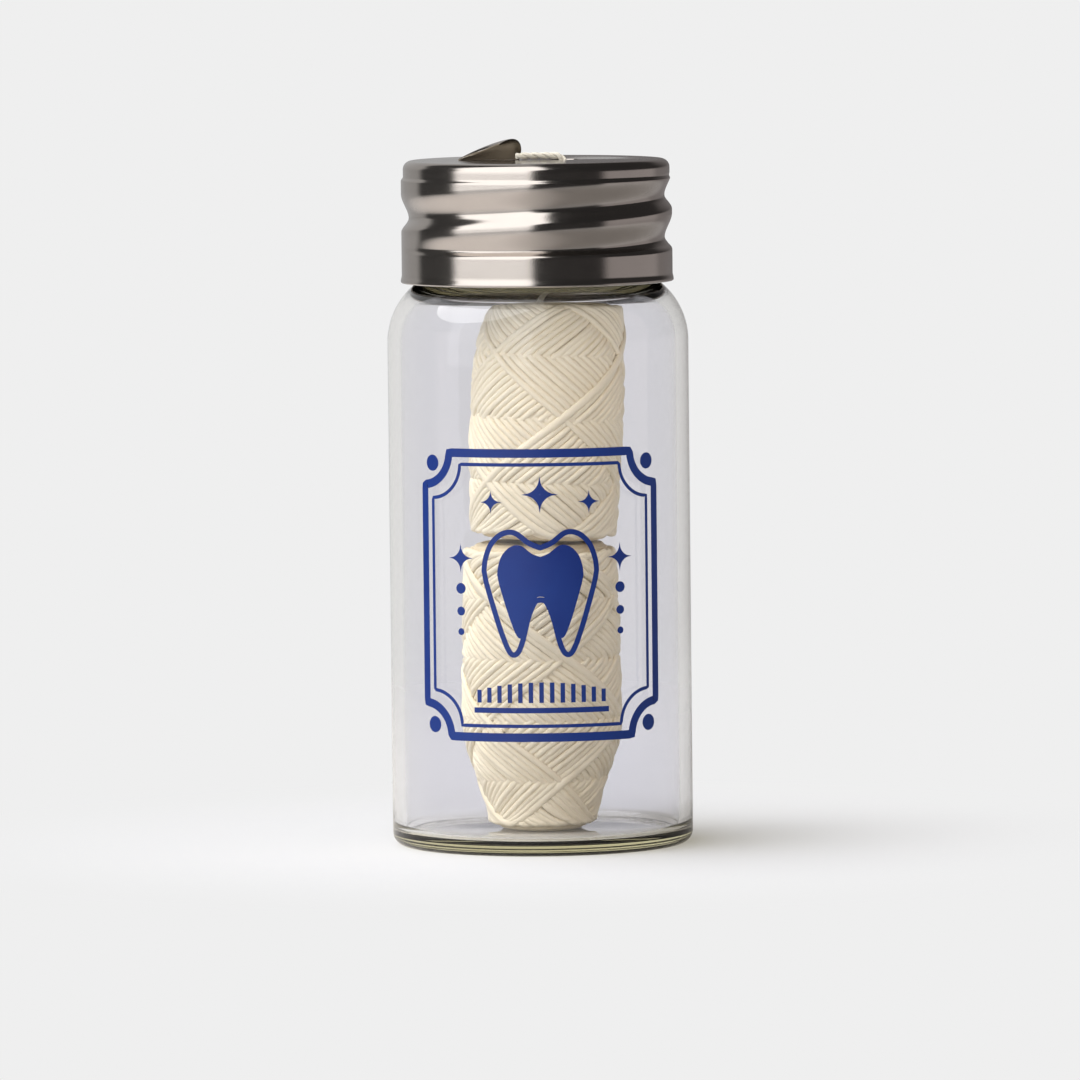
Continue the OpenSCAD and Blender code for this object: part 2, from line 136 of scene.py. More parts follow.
# The floor's tone, and the metres from the vial's foot over which it fades out for the eye and for
# metal. Metal sees its left and its right in two tones, which change over METAL_TURN each way. Both
# are a painted, dimmer reflection, and the darker right one is painted shade for the vial's shadow
FLOOR_TONE = (0.528, 0.53328, 0.54912, 1.0)
EYE_FADE, METAL_FADE, METAL_TURN = (0.017, 0.062), (0.07, 0.3), 0.045
METAL_LEFT, METAL_RIGHT = (0.62, 0.6, 0.585, 1.0), (0.17, 0.163, 0.157, 1.0)
# The room as metal sees it: direction from the camera's side in degrees, to the right, and
# brightness low down, at the height of upright walls' reflections, and above it
LOW_ROOM = [(-180, 0.45), (-124, 0.45), (-116, 0.06), (-78, 0.06), (-70, 0.8), (-8, 0.8), (-2, 0.03),
            (57, 0.03), (64, 0.36), (120, 0.36), (128, 0.26), (180, 0.26)]
MID_ROOM = [(-180, 0.5), (-124, 0.5), (-116, 0.06), (-78, 0.06), (-72, 2.1), (-6, 2.1), (-2, 0.03),
            (57, 0.03), (64, 0.52), (120, 0.52), (128, 0.32), (180, 0.2)]
TOP_ROOM = [(-180, 0.5), (-124, 0.5), (-116, 0.06), (-78, 0.06), (-72, 2.1), (-6, 2.1), (-2, 0.03),
            (130, 0.04), (165, 0.2), (180, 0.2)]
# Middle of the room's light panel, and how much nearer to it high directions are read
PANEL, PANEL_DRAW = -39.0, 0.72
# Sines of the heights over which the low room gives way to the middle one, that to the top one,
# the whole brightens from DUSK to 1, and the panel is drawn
LOW_TO_MID, MID_TO_TOP, BRIGHTEN, DRAW = (-0.056, -0.05), (-0.02, 0.12), (-0.05, 0.3), (0.35, 0.7)
DUSK, WARM = 0.85, 0.93


def ease(t):
    """Smooth step: t held between 0 and 1, then 3 t squared less 2 t cubed."""
    t = np.clip(t, 0.0, 1.0)
    return t * t * (3.0 - 2.0 * t)


def unit(v):
    """Each vector over its own length."""
    return v / np.maximum(np.linalg.norm(v, axis=-1, keepdims=True), 1e-12)


def arc(cx, cz, r, start, end, steps):
    """Points on a circle about (cx, cz), at even angles from start to end, in degrees."""
    a = np.radians(np.linspace(start, end, steps + 1))
    return np.stack([cx + r * np.cos(a), cz + r * np.sin(a)], -1)


def line(a, b, steps):
    """Even points from a to b."""
    return np.asarray(a) + np.linspace(0.0, 1.0, steps + 1)[:, None] * (np.asarray(b) - np.asarray(a))


def polar(r, a, z):
    """Points at a radius, an angle in radians and a height."""
    return np.stack([r * np.cos(a), r * np.sin(a), z], -1)


def run_of(path):
    """The length run along a path at each of its points."""
    return np.concatenate([[0.0], np.cumsum(np.linalg.norm(np.diff(path, axis=0), axis=1))])


def even(path, step, closed=False):
    """The same path with its points an even step apart."""
    path = np.asarray(path, float)
    if closed:
        path = np.concatenate([path, path[:1]])
    run = run_of(path)
    at = np.linspace(0.0, run[-1], int(round(run[-1] / step)) + 1)
    at = at[:-1] if closed else at
    return np.stack([np.interp(at, run, path[:, k]) for k in range(path.shape[1])], -1)


def chain(*parts):
    """The parts of an outline in a row, each point that repeats the last one left out."""
    points = np.concatenate(parts)
    keep = np.concatenate([[True], np.linalg.norm(np.diff(points, axis=0), axis=1) > 1e-6])
    return points[keep]


def quads(rows, cols, wrap_rows=False, wrap_cols=False):
    """Four-sided faces between the neighbours of a grid, which may join up along either side."""
    r, c = np.meshgrid(
        np.arange(rows - (not wrap_rows)), np.arange(cols - (not wrap_cols)), indexing="ij"
    )
    nr, nc = (r + 1) % rows, (c + 1) % cols
    return np.stack([r * cols + c, r * cols + nc, nr * cols + nc, nr * cols + c], -1).reshape(-1, 4)


def joined(parts):
    """Pairs of points and faces as one: all points in a row, and each pair's faces counted on."""
    starts = np.cumsum([0] + [len(points) for points, _ in parts])
    return np.concatenate([points for points, _ in parts]), [f + at for (_, f), at in zip(parts, starts)]


def placed(name, data):
    """A new object of the data, in the scene."""
    made = bpy.data.objects.new(name, data)
    bpy.context.scene.collection.objects.link(made)
    return made


def put_mesh(name, points, faces, sharp=40.0, merge=1e-6, uv=None):
    """A mesh object from points in millimetres and a list of face arrays. Points closer than
    merge metres become one, and a closed mesh that is inside out is turned."""
    points = np.asarray(points, float).reshape(-1, 3)
    corners = np.concatenate([f.ravel() for f in faces]).astype(np.int32)
    sizes = np.concatenate([np.full(len(f), f.shape[1], np.int32) for f in faces])
    mesh = bpy.data.meshes.new(name)
    mesh.vertices.add(len(points))
    mesh.vertices.foreach_set("co", (points * MM).astype(np.float32).ravel())
    mesh.loops.add(len(corners))
    mesh.loops.foreach_set("vertex_index", corners)
    mesh.polygons.add(len(sizes))
    mesh.polygons.foreach_set("loop_start", np.concatenate([[0], np.cumsum(sizes)[:-1]]).astype(np.int32))
    if uv is not None:
        mesh.uv_layers.new(name="along").data.foreach_set("uv", uv.astype(np.float32).ravel())
    mesh.update(calc_edges=True)
    work = bmesh.new()
    work.from_mesh(mesh)
    if merge:
        bmesh.ops.remove_doubles(work, verts=work.verts, dist=merge)
    if not any(e.is_boundary for e in work.edges) and work.calc_volume(signed=True) < 0:
        bmesh.ops.reverse_faces(work, faces=work.faces)
    work.to_mesh(mesh)
    work.free()
    mesh.validate()
    mesh.polygons.foreach_set("use_smooth", np.ones(len(mesh.polygons), bool))
    mesh.set_sharp_from_angle(angle=math.radians(sharp))
    return placed(name, mesh)


def finish_piece(piece, body, slot, material, *nodes):
    """Gives a piece its material, and lets it ride on its body and stand for CAD nodes. Its slot is not used.
    """
    piece.data.materials.append(material)
    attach(piece, body)
    if nodes:
        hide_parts(*nodes)


def put(tree, kind, inputs=None, **settings):
    """A node of one kind, with its settings, and each input set to a value or joined to a socket."""
    made = tree.nodes.new(kind)
    for key, value in settings.items():
        setattr(made, key, value)
    for key, value in (inputs or {}).items():
        if isinstance(value, bpy.types.NodeSocket):
            tree.links.new(value, made.inputs[key])
        else:
            made.inputs[key].default_value = value
    return made


def sums(tree, operation, a, b):
    """One step of arithmetic on two values or sockets."""
    return put(tree, "ShaderNodeMath", {0: a, 1: b}, operation=operation).outputs[0]


def rising(tree, value, span, low=0.0, high=1.0):
    """A value that goes from low to high, by the smooth step, as another crosses the span."""
    return put(tree, "ShaderNodeMapRange", {
        "Value": value, "From Min": span[0], "From Max": span[1], "To Min": low, "To Max": high
    }, interpolation_type="SMOOTHSTEP").outputs["Result"]


def between(tree, factor, low, high):
    """A value that goes from low to high as factor goes from 0 to 1."""
    made = put(tree, "ShaderNodeMapRange", {"Value": factor, "To Min": low, "To Max": high})
    return made.outputs["Result"]


def tinted(tree, factor, first, second):
    """A colour that goes from first to second as factor goes from 0 to 1."""
    return put(tree, "ShaderNodeMix", {0: factor, 6: first, 7: second}, data_type="RGBA").outputs[2]


def mixed(tree, factor, first, second):
    """A shader that goes from first to second as factor goes from 0 to 1."""
    return put(tree, "ShaderNodeMixShader", {0: factor, 1: first, 2: second}).outputs[0]


def noise(tree, where, scale, detail, rough=0.5):
    """Noise at a place, from 0 to 1."""
    return put(tree, "ShaderNodeTexNoise", {
        "Vector": where, "Scale": scale, "Detail": detail, "Roughness": rough
    }).outputs["Fac"]


def raised(tree, height, depth, strength=1.0):
    """The normal of a surface with a relief of so much depth."""
    return put(tree, "ShaderNodeBump", {
        "Height": height, "Distance": depth, "Strength": strength
    }).outputs["Normal"]


def effect(name, inputs, outputs, build):
    """A node group with named sockets. build gets its tree and inputs, and returns its outputs by name."""
    group = bpy.data.node_groups.new(name, "ShaderNodeTree")
    for label, kind, start in inputs:
        group.interface.new_socket(label, in_out="INPUT", socket_type=kind).default_value = start
    for label, kind in outputs:
        group.interface.new_socket(label, in_out="OUTPUT", socket_type=kind)
    source = group.nodes.new("NodeGroupInput")
    end = group.nodes.new("NodeGroupOutput")
    for label, socket in build(group, source.outputs).items():
        group.links.new(socket, end.inputs[label])
    return group


def material(name):
    """An empty node material with its Principled shader."""
    made = bpy.data.materials.new(name)
    made.use_nodes = True
    return made, made.node_tree, made.node_tree.nodes["Principled BSDF"]


def fill(shader, **values):
    """Sets or joins the shader's sockets, whose names are given with underscores for spaces."""
    for key, value in values.items():
        socket = shader.inputs[key.replace("_", " ")]
        if isinstance(value, bpy.types.NodeSocket):
            shader.id_data.links.new(value, socket)
        else:
            socket.default_value = value


FLOAT, VECTOR = "NodeSocketFloat", "NodeSocketVector"


def build_grain(tree, given):
    """Fine grain on Object coordinates: small noise for the relief, and broad noise for smudges."""
    place = put(tree, "ShaderNodeTexCoord").outputs["Object"]
    fine = noise(tree, place, given["Scale"], 3.0)
    broad = noise(tree, place, sums(tree, "MULTIPLY", given["Scale"], 0.035), 4.0, 0.6)
    least, most = (sums(tree, "MULTIPLY", given["Roughness"], share) for share in (0.75, 1.3))
    return {"Roughness": between(tree, broad, least, most), "Normal": raised(tree, fine, given["Depth"]),
            "Smudge": broad}


GRAIN = effect(
    "fine_grain",
    [("Scale", FLOAT, 6000.0), ("Depth", FLOAT, 0.00001), ("Roughness", FLOAT, 0.3)],
    [("Roughness", FLOAT), ("Normal", VECTOR), ("Smudge", FLOAT)],
    build_grain,
)


def build_fibre(tree, given):
    """Fibres that lie along a strand: noise on the strand's own UV map, stretched along it,
    with slow changes of tone over the whole bobbin on Object coordinates."""
    coords = put(tree, "ShaderNodeTexCoord").outputs
    along = put(tree, "ShaderNodeMapping", {"Vector": coords["UV"], "Scale": (0.25, 1.0, 1.0)})
    streak = noise(tree, along.outputs["Vector"], given["Streaks"], 3.0, 0.6)
    slow = noise(tree, coords["Object"], 320.0, 2.0)
    tone = sums(tree, "ADD", sums(tree, "MULTIPLY", streak, 0.55), sums(tree, "MULTIPLY", slow, 0.45))
    return {"Tone": tone, "Normal": raised(tree, streak, given["Depth"])}


FIBRE = effect(
    "floss_fibre",
    [("Streaks", FLOAT, 9.0), ("Depth", FLOAT, 0.00004)],
    [("Tone", FLOAT), ("Normal", VECTOR)],
    build_fibre,
)


def glass_material():
    """Clear glass with a faint drawn waviness, a little blue at its faces and green in its depth. It
    lets lamps through."""
    made, tree, shader = material("clear_glass")
    place = put(tree, "ShaderNodeTexCoord").outputs["Object"]
    drawn = put(tree, "ShaderNodeMapping", {"Vector": place, "Scale": (1.0, 1.0, 0.12)})
    wave = noise(tree, drawn.outputs["Vector"], 180.0, 2.0)
    fill(shader, Base_Color=(0.875, 0.875, 0.93, 1.0), Roughness=0.0, IOR=1.5, Transmission_Weight=1.0,
         Normal=raised(tree, wave, 0.00002, 0.35))
    clear = put(tree, "ShaderNodeBsdfTransparent", {"Color": (0.95, 0.95, 0.95, 1.0)}).outputs[0]
    path = put(tree, "ShaderNodeLightPath").outputs
    passed = mixed(tree, path["Is Diffuse Ray"], shader.outputs[0], clear)
    out = tree.nodes["Material Output"]
    tree.links.new(mixed(tree, path["Is Shadow Ray"], passed, clear), out.inputs["Surface"])
    depth = put(tree, "ShaderNodeVolumeAbsorption", {"Color": (0.8, 0.76, 0.48, 1.0), "Density": 80.0})
    tree.links.new(depth.outputs[0], out.inputs["Volume"])
    return made


def grained(name, dark, light, scale, depth, rough, **values):
    """A finish with fine grain in its gloss, and smudges over it from a dark to a light tone."""
    made, tree, shader = material(name)
    grain = put(tree, "ShaderNodeGroup", {"Scale": scale, "Depth": depth, "Roughness": rough},
                node_tree=GRAIN).outputs
    fill(shader, Base_Color=tinted(tree, grain["Smudge"], dark, light), Roughness=grain["Roughness"],
         Normal=grain["Normal"], **values)
    return made


def floss_material(name, dark, light, streaks, depth, rough):
    """Waxed cream floss with fibres along the strand and a soft waxy sheen."""
    made, tree, shader = material(name)
    fibre = put(tree, "ShaderNodeGroup", {"Streaks": streaks, "Depth": depth}, node_tree=FIBRE).outputs
    fill(shader, Base_Color=tinted(tree, fibre["Tone"], dark, light), Roughness=rough,
         Sheen_Weight=0.15, Sheen_Roughness=0.5, Normal=fibre["Normal"])
    return made


GLASS = glass_material()
# Pressed steel with a satin gloss, and a dark, duller copy of it painted as shade on the scoop's hollow and
# front
STEEL = grained("satin_steel", (0.47, 0.43, 0.4, 1.0), (0.55, 0.505, 0.465, 1.0), 9000.0, 0.000003, 0.14,
                Metallic=1.0)
SCOOP_SHADE_STEEL = grained("scoop_shade_steel", (0.12, 0.1, 0.075, 1.0), (0.2, 0.17, 0.13, 1.0), 9000.0, 0.000003, 0.34,
                    Metallic=1.0)
FLOSS = floss_material("waxed_floss", (0.85, 0.74, 0.53, 1.0), (0.97, 0.91, 0.77, 1.0), 9.0, 0.00003, 0.5)
LOOSE = floss_material("loose_floss", (0.42, 0.39, 0.32, 1.0), (0.8, 0.77, 0.69, 1.0), 9.0, 0.00004, 0.5)
# The floss under the windings, darker and warmer than the outer floss: painted shade where it shows between
# the windings
PACKED_SHADED_FLOSS = floss_material("packed_floss", (0.62, 0.51, 0.33, 1.0), (0.82, 0.73, 0.56, 1.0), 5.0, 0.00006, 0.6)
# White foamed sealing disc with closed cells in its skin, and fired navy ink, a little uneven
FOAM = grained("white_foam", (0.84, 0.83, 0.8, 1.0), (0.9, 0.89, 0.87, 1.0), 3500.0, 0.00003, 0.75)
INK = grained("navy_ink", (0.001, 0.012, 0.125, 1.0), (0.002, 0.03, 0.19, 1.0), 5000.0, 0.000004, 0.42,
              Specular_IOR_Level=0.35)


def root_z(x, r, f):
    """Height of the centre of a fillet f between a shoulder arc r and an upright line at x."""
    return BODY_H + math.sqrt((r + f) ** 2 - (x + f - ARC_X) ** 2)


def shoulder_to_neck(x, r, f, steps):
    """Shoulder arc from the body up to the fillet, and the fillet up to the upright line at x."""
    zc = root_z(x, r, f)
    meet = math.degrees(math.atan2(zc - BODY_H, x + f - ARC_X))
    return chain(arc(ARC_X, BODY_H, r, 0, meet, steps), arc(x + f, zc, f, meet + 180, 180, steps // 2))


def vial_outline():
    """Half section of the glass from the foot's centre up the outside, over the lip and down
    the inside to the floor's centre. The foot is pressed in a little at its middle."""
    foot_x = VIAL_R - HEEL_R
    dish = FOOT_DISH * (1 - ease(np.linspace(0.0, DISH_REACH, 25)))
    foot = np.stack([np.linspace(0.0, foot_x, 25), dish], -1)
    inside_x = VIAL_R - WALL
    inner_shoulder = shoulder_to_neck(BORE_R, SHOULDER_R - WALL, ROOT_R, 24)
    climb = inner_shoulder[:, 1] - BODY_H
    inner_shoulder[:, 1] = BODY_H + climb * (1 - INNER_DROP * (climb / climb.max()) ** 3)
    inside = chain(
        line((0, FLOOR_T), (inside_x - INNER_HEEL_R, FLOOR_T), 12),
        arc(inside_x - INNER_HEEL_R, FLOOR_T + INNER_HEEL_R, INNER_HEEL_R, -90, 0, 10),
        line((inside_x, FLOOR_T + INNER_HEEL_R), (inside_x, BODY_H), 24),
        inner_shoulder,
        line(inner_shoulder[-1], (BORE_R, MOUTH_Z - LIP_R), 14),
    )
    return chain(
        foot,
        arc(foot_x, HEEL_R, HEEL_R, -90, 0, 14),
        line((VIAL_R, HEEL_R), (VIAL_R, BODY_H), 24),
        shoulder_to_neck(NECK_R, SHOULDER_R, ROOT_R, 28),
        line((NECK_R, root_z(NECK_R, SHOULDER_R, ROOT_R)), (NECK_R, MOUTH_Z - LIP_R), 48),
        arc(NECK_R - LIP_R, MOUTH_Z - LIP_R, LIP_R, 0, 90, 6),
        arc(BORE_R + LIP_R, MOUTH_Z - LIP_R, LIP_R, 90, 180, 6),
        inside[::-1],
    )


def ridge_z(a):
    """Height of the middle of the neck's ridge at an angle in degrees, counted on over the turns."""
    return RIDGE_END_Z + PITCH * (a - RIDGE_END_A) / 360.0


def fade_in(a, start, end, width):
    """Rises from 0 after start and falls back to 0 before end, each over a width."""
    return ease((a - start) / width) * ease((end - a) / width)


def ridge_at(a, z):
    """Height of the neck's glass ridge: the greatest over the turns of a rounded bump about
    ridge_z, faded in at both ends."""
    start = RIDGE_END_A - 360.0 * RIDGE_TURNS
    bumps = []
    for turn in (-2, -1, 0):
        b = a + 360.0 * turn
        off = np.abs(z - ridge_z(b)) / (RIDGE_W / 2)
        bumps.append(ease((1 - off) / 0.75) * fade_in(b, start - 1, RIDGE_END_A + 1, RIDGE_FADE))
    return RIDGE_H * np.max(bumps, axis=0)


def make_vial():
    """The outline turned about the axis, its outer neck raised by the ridge."""
    outline = vial_outline()
    a = np.linspace(0.0, 360.0, 288, endpoint=False)
    r, z = (np.repeat(outline[:, k:k + 1], len(a), axis=1) for k in (0, 1))
    on_neck = (np.abs(r - NECK_R) < 1e-3) & (z > BODY_H)
    r = r + np.where(on_neck, ridge_at(a, z), 0.0)
    faces = quads(len(outline), len(a), wrap_cols=True)
    piece = put_mesh("vial_glass", polar(r, np.radians(a), z), [faces], sharp=60)
    finish_piece(piece, "vial", "glass", GLASS, "glass_vial")


def groove_at(a, z):
    """Depth of the rolled groove: the greatest over the turns of a smooth hollow half a pitch
    above the ridge, which reaches further up than down, faded in at both ends and above the
    plain part of the skirt."""
    hollows = []
    for turn in (-2, -1, 0):
        b = a + 360.0 * turn
        off = z - ridge_z(b) - PITCH / 2
        off = np.maximum(off / GROOVE_UP, -off / GROOVE_DOWN)
        fade = fade_in(b, GROOVE_END_A - 360.0 * GROOVE_TURNS, GROOVE_END_A, GROOVE_FADE)
        hollows.append((1 - ease(off)) * fade)
    return GROOVE_DEPTH * np.max(hollows, axis=0) * ease((z - PLAIN_Z) / PLAIN_FADE)


def skirt_r(a, z):
    """Outer radius of the skirt: the cap's radius, less the groove, more the flare of its lower edge,
    and drawn in smoothly to the plain band above."""
    flare = EDGE_FLARE * ease(1 - (z - EDGE_Z) / SHEET / 2)
    step = (CAP_R - BAND_R) * ease((z - BAND_Z + STEP_DOWN) / STEP_H)
    return CAP_R - groove_at(a, z) + flare - step


def scoop_opening():
    """Corners of the three-sided opening that the scoop was folded up from."""
    foot = SHEET + SCOOP_GAP
    corner = SCOOP_FAR - [0.0, SCOOP_W]
    return np.array([SCOOP_TIP + (corner - SCOOP_TIP) * foot / SCOOP_W, corner, SCOOP_FAR - [0.0, foot]])


def lifted(flat, z):
    """Flat points at a height."""
    return np.concatenate([flat, np.full((len(flat), 1), z)], 1)


def cut_plate(rim, holes):
    """Triangles of a flat plate inside the rim, without those inside the holes."""
    loops = [rim] + holes
    starts = np.cumsum([0] + [len(h) for h in loops])
    edges = [(s + k, s + (k + 1) % len(h)) for s, h in zip(starts, loops) for k in range(len(h))]
    points = [Vector(p) for p in np.concatenate(loops)]
    found = delaunay_2d_cdt(points, edges, [], 1, 1e-7)
    places, faces = np.array([tuple(p) for p in found[0]]), np.array(found[2])
    middle = places[faces].mean(axis=1)
    keep = np.ones(len(faces), bool)
    for hole in holes:
        keep &= ~inside(middle, hole)
    return places, faces[keep]


def inside(points, loop):
    """Which points lie inside a closed outline, by counting the edges that a ray to +X crosses."""
    x, y = points[:, 0:1], points[:, 1:2]
    a, b = loop, np.roll(loop, -1, axis=0)
    spans = (a[:, 1] > y) != (b[:, 1] > y)
    slope = (b[:, 0] - a[:, 0]) / np.where(b[:, 1] == a[:, 1], 1e-12, b[:, 1] - a[:, 1])
    return (np.sum(spans & (x < a[:, 0] + (y - a[:, 1]) * slope), axis=1) % 2) == 1


def drawn_in(size, margin):
    """A measure of the scoop's outer skin drawn in towards the inner one, which never reaches zero."""
    return size * size / (size + margin)


def scoop_skin(u, v, margin):
    """The scoop's skin, u from its tip to its mouth and v from its fold to its free edge, drawn in by
    a margin. It stands out in front of the fold by one less the cosine of its bend, and climbs by the
    sine of it. Its crest climbs by one less a power of 1 - u, and it bends over most halfway along."""
    bend = v * (SCOOP_BEND + SCOOP_SAG * np.sin(np.pi * np.clip(u, 0, 1)))
    along = u * (SCOOP_L + MOUTH_SLANT[0] * v + MOUTH_SLANT[1] * v * v)
    fold_y = SCOOP_TIP[1] + (SCOOP_FAR - SCOOP_TIP)[1] * along / SCOOP_L
    lean = drawn_in(SCOOP_LEAN * u, margin)
    crest = drawn_in(SCOOP_H * (1 - np.clip(1 - u, 0, 1) ** SCOOP_ROUND), margin)
    y = fold_y - margin - lean * (1 - np.cos(bend))
    z = CAP_Z - SCOOP_SINK * (1 - np.sin(bend)) + crest * np.sin(bend)
    return np.stack([SCOOP_TIP[0] + along, y, z], -1)


def scoop_points():
    """Rows from the scoop's tip to its mouth. Each goes over the outer skin, round the free edge and
    back under the inner skin, and at the mouth the two skins close on each other."""
    v = np.linspace(0.0, 1.0, 49)
    edge = np.radians(np.linspace(0.0, 180.0, 10)[1:-1])
    round_v = np.concatenate([v, 1 + EDGE_ROUND * np.sin(edge), v[::-1]])
    margin = np.concatenate([np.zeros(49), SHEET / 2 * (1 - np.cos(edge)), np.full(49, SHEET)])
    close = np.radians(np.linspace(0.0, 90.0, 6)[1:])
    u = np.concatenate([np.linspace(SCOOP_NOSE, 1.0, 57), 1 + MOUTH_ROUND * np.sin(close)])
    thin = np.concatenate([np.ones(57), np.cos(close)])
    margin = SHEET / 2 + (margin - SHEET / 2) * thin[:, None]
    grid_u, grid_v = np.meshgrid(u, round_v, indexing="ij")
    return scoop_skin(grid_u, grid_v, margin)


def paint_scoop_shade(mesh):
    """Gives the second material, a painted shade, to the scoop's faces that look into its fold or to the
    front, where shade falls under and beside the scoop."""
    count = len(mesh.polygons)
    middle, facing = np.empty(3 * count), np.empty(3 * count)
    mesh.polygons.foreach_get("center", middle)
    mesh.polygons.foreach_get("normal", facing)
    middle, facing = middle.reshape(-1, 3) / MM, facing.reshape(-1, 3)
    u = (middle[:, 0] - SCOOP_TIP[0]) / SCOOP_L
    fold_y = SCOOP_TIP[1] + (SCOOP_FAR - SCOOP_TIP)[1] * u
    to_fold = np.stack([fold_y - SCOOP_LEAN * u - middle[:, 1], CAP_Z - middle[:, 2]], -1)
    inward = np.sum(to_fold * facing[:, 1:], -1) > 0
    # Faces of the scoop that look into its fold or to the front: these get the painted shade
    painted_shade_faces = (middle[:, 2] > CAP_Z + 0.02) & (inward | ((facing[:, 1] < -0.45) & (facing[:, 2] < 0.45)))
    mesh.polygons.foreach_set("material_index", painted_shade_faces.astype(np.int32))


def make_cap():
    """Crown, corner, band and threaded skirt as one turned sheet, with the plate cut for the hole
    and the scoop, and the scoop set into it."""
    a = np.linspace(0.0, 360.0, 360, endpoint=False)
    z_step = np.linspace(BAND_Z + STEP_DOWN, BAND_Z - 0.4, 9)
    z_skirt = np.concatenate([z_step, np.linspace(BAND_Z - 0.5, EDGE_Z, 84)])
    corner = arc(FLAT_R, CAP_Z - CORNER_R, CORNER_R, 90, 0, 12)
    band = line((BAND_R, CAP_Z - CORNER_R), (BAND_R, BAND_Z + 0.3), 3)[1:]
    plain = np.concatenate([corner, band])
    angle, z = np.meshgrid(a, z_skirt)
    outer_r = np.concatenate([np.repeat(plain[:, :1], len(a), 1), skirt_r(angle, z)])
    outer_z = np.concatenate([np.repeat(plain[:, 1:], len(a), 1), z])
    curl = np.radians(np.linspace(0.0, 180.0, 9)[1:-1])[:, None]
    edge_r = outer_r[-1] - SHEET / 2 * (1 - np.cos(curl))
    edge_z = outer_z[-1] - SHEET / 2 * np.sin(curl) * np.ones(len(a))
    inner_rows = np.linspace(len(outer_r) - 1, len(plain), 46).round().astype(int)
    inner_r, inner_z = outer_r[inner_rows] - SHEET, outer_z[inner_rows]
    under = arc(FLAT_R, CAP_Z - CORNER_R, CORNER_R - SHEET, 0, 90, 8)
    under_r, under_z = (np.repeat(under[:, k:k + 1], len(a), 1) for k in (0, 1))
    r = np.concatenate([outer_r, edge_r, inner_r, under_r])
    height = np.concatenate([outer_z, edge_z, inner_z, under_z])
    wall = polar(r, np.radians(a), height).reshape(-1, 3)
    parts = [(wall, quads(len(r), len(a), wrap_cols=True))]

    rim = polar(FLAT_R, np.radians(a), 0 * a)[:, :2]
    round_a = np.linspace(0.0, TURN, 72, endpoint=False)
    ring = polar(1.0, round_a, 0 * round_a)[:, :2]
    corners = scoop_opening()
    opening = np.concatenate([line(p, q, 8)[:-1] for p, q in zip(corners, np.roll(corners, -1, axis=0))])
    hole = [np.array([HOLE_X, 0.0]) + (HOLE_R + grow) * ring for grow, _ in HOLE_RIM]
    for z_plate, hole_loop in ((CAP_Z, hole[0]), (CAP_Z - SHEET, hole[-1])):
        places, faces = cut_plate(rim, [hole_loop, opening])
        parts.append((lifted(places, z_plate), faces if z_plate == CAP_Z else faces[:, ::-1]))
    hole_wall = np.concatenate([lifted(loop, CAP_Z - drop) for loop, (_, drop) in zip(hole, HOLE_RIM)])
    parts.append((hole_wall, quads(len(HOLE_RIM), len(ring), wrap_cols=True)))
    cut_wall = np.concatenate([lifted(opening, z) for z in (CAP_Z, CAP_Z - SHEET)])
    parts.append((cut_wall, quads(2, len(opening), wrap_cols=True)))

    scoop = scoop_points()
    rows_n, cols_n = scoop.shape[:2]
    ladder = quads(rows_n, cols_n, wrap_cols=True)
    half = cols_n // 2
    k = np.arange(half - 1)
    nose = np.stack([k, k + 1, cols_n - 2 - k, cols_n - 1 - k], -1)
    parts.append((scoop.reshape(-1, 3), np.concatenate([ladder, nose])))

    piece = put_mesh("cap_shell", *joined(parts), sharp=34)
    work = bmesh.new()
    work.from_mesh(piece.data)
    bmesh.ops.recalc_face_normals(work, faces=work.faces)
    work.to_mesh(piece.data)
    work.free()
    finish_piece(piece, "cap", "cap_steel", STEEL, "screw_cap")
    # A dark, duller copy of the steel, painted shade, goes on the scoop's hollow and front faces
    piece.data.materials.append(SCOOP_SHADE_STEEL)
    paint_scoop_shade(piece.data)


def tube(path, ref, wide, thick, sides, dome=0.3):
    """Rings of an oval section about a path, wide across and thick towards ref, square to the way it
    goes. Its two ends close in a dome. Returns the rings, and the length run at each."""
    way = unit(np.gradient(path, axis=0))
    out = unit(ref - np.sum(ref * way, -1, keepdims=True) * way)
    side = np.cross(way, out)
    swell = np.array([0.0, 0.55, 0.87])
    lead = np.array([1.0, 0.85, 0.5]) * dome
    path = np.concatenate([path[:1] - lead[:, None] * way[:1], path, path[-1:] + lead[::-1, None] * way[-1:]])
    out, side = (np.pad(d, ((3, 3), (0, 0)), "edge") for d in (out, side))
    scale = np.concatenate([swell, np.ones(len(path) - 6), swell[::-1]])
    wide, thick = (np.broadcast_to(s, len(path) - 6) for s in (wide, thick))
    wide, thick = (np.pad(s, 3, "edge") * scale / 2 for s in (wide, thick))
    a = np.linspace(0.0, TURN, sides, endpoint=False)
    rings = (path[:, None] + (wide[:, None] * np.sin(a))[..., None] * side[:, None]
             + (thick[:, None] * np.cos(a))[..., None] * out[:, None])
    return rings, run_of(path)


def make_strands(name, tubes):
    """One mesh from several tubes. Its fibres' UV map is the length run in millimetres, and the
    share round."""
    parts, maps = [], []
    for rings, run in tubes:
        n, sides = rings.shape[:2]
        share = np.arange(sides) / sides
        low, high = (np.stack(np.meshgrid(some, share, indexing="ij"), -1) for some in (run[:-1], run[1:]))
        step = np.array([0.0, 1.0 / sides])
        parts.append((rings.reshape(-1, 3), quads(n, sides, wrap_cols=True)))
        maps.append(np.stack([low, low + step, high + step, high], 2).reshape(-1, 2))
    return put_mesh(name, *joined(parts), sharp=180, uv=np.concatenate(maps))


